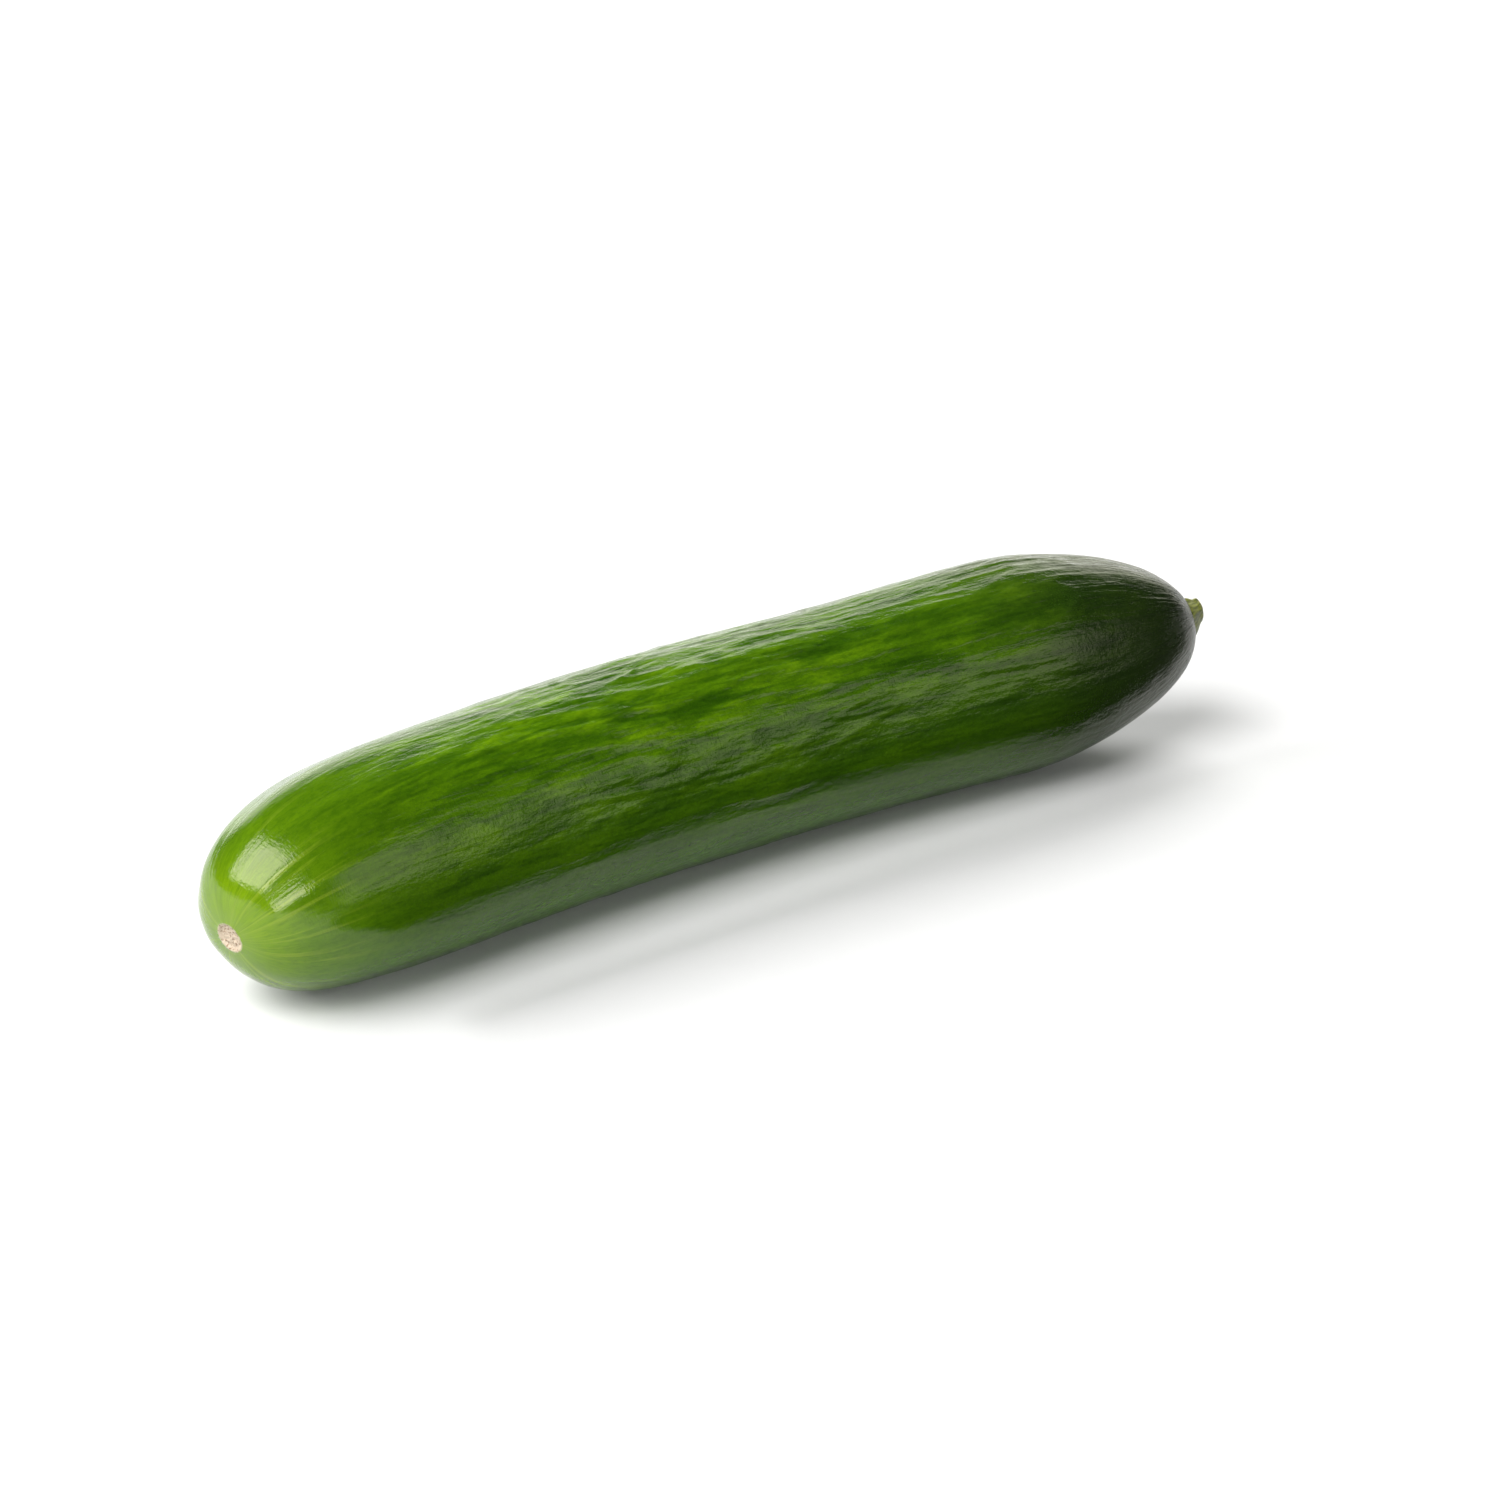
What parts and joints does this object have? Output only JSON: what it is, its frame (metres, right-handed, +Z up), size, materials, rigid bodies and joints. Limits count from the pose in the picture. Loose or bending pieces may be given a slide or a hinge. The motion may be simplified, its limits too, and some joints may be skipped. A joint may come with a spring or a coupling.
{
  "type": "cucumber",
  "caption": "Whole fresh cucumber: a long, gently bowed, smooth-skinned fruit with a dry blossom scar at one end and the cut stub of its stem at the other; lies on its side.",
  "frame": {"origin": "on the table, under the middle of the bounding box", "axes": "+X along the fruit towards the stem end, +Y to the side the fruit bows towards, +Z up"},
  "size_m": [0.281, 0.057, 0.0511],
  "materials": {
    "skin": "gloss",
    "stem": "matte"
  },
  "bodies": {
    "root": {"fruit": "skin", "stem": "stem"}
  },
  "joints": []
}
